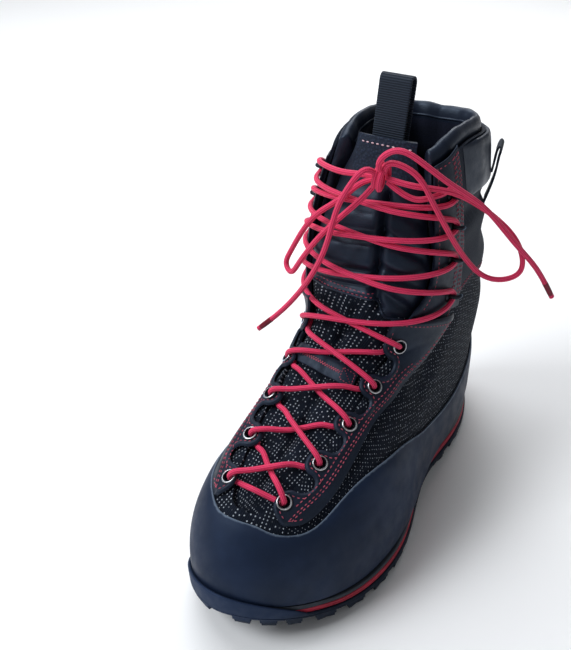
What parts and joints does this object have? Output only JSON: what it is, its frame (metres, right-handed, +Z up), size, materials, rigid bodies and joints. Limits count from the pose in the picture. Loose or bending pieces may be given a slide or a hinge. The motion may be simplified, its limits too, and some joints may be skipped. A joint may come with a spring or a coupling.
{
  "type": "arborist boot",
  "caption": "Left lace-up climbing work boot: hollow upper, rubber rand and toe cap, padded collar, tongue, red midsole and lugged sole.",
  "frame": {"origin": "on the floor, at the middle of the boot's length and width", "axes": "+X to the outer side of the foot, +Y to the heel, +Z up"},
  "size_m": [0.1638, 0.2994, 0.2701],
  "materials": {
    "outsole rubber": "matt, moulded",
    "red foam": "matt foam",
    "grey foam": "matt foam",
    "rand rubber": "satin, scuffed",
    "dotted cloth": "woven, with rows of pale dots",
    "smooth leather": "satin, worn",
    "lining": "soft mesh",
    "webbing": "ribbed weave",
    "eyelet metal": "black, rubbed",
    "lace": "braided"
  },
  "bodies": {
    "root": {"collar_cuff": "smooth leather", "collar_liner": "lining", "eyelet_lateral_1": "eyelet metal", "eyelet_lateral_2": "eyelet metal", "eyelet_lateral_3": "eyelet metal", "eyelet_lateral_4": "eyelet metal", "eyelet_lateral_5": "eyelet metal", "eyelet_medial_1": "eyelet metal", "eyelet_medial_2": "eyelet metal", "eyelet_medial_3": "eyelet metal", "eyelet_medial_4": "eyelet metal", "eyelet_medial_5": "eyelet metal", "eyestay_lateral": "smooth leather", "eyestay_medial": "smooth leather", "heel_loop": "webbing", "hook_lateral_1": "eyelet metal", "hook_lateral_2": "eyelet metal", "hook_lateral_3": "eyelet metal", "hook_lateral_4": "eyelet metal", "hook_medial_1": "eyelet metal", "hook_medial_2": "eyelet metal", "hook_medial_3": "eyelet metal", "hook_medial_4": "eyelet metal", "insole": "lining", "lace_bars": "lace", "lace_end_lateral": "lace", "lace_end_medial": "lace", "lace_knot": "lace", "lace_loop_lateral": "lace", "lace_loop_medial": "lace", "lace_strap": "webbing", "midsole": "red foam", "outsole": "outsole rubber", "rand": "rand rubber", "tongue": "smooth leather", "tongue_loop": "webbing", "upper": "dotted cloth", "wedge": "grey foam"}
  },
  "joints": []
}
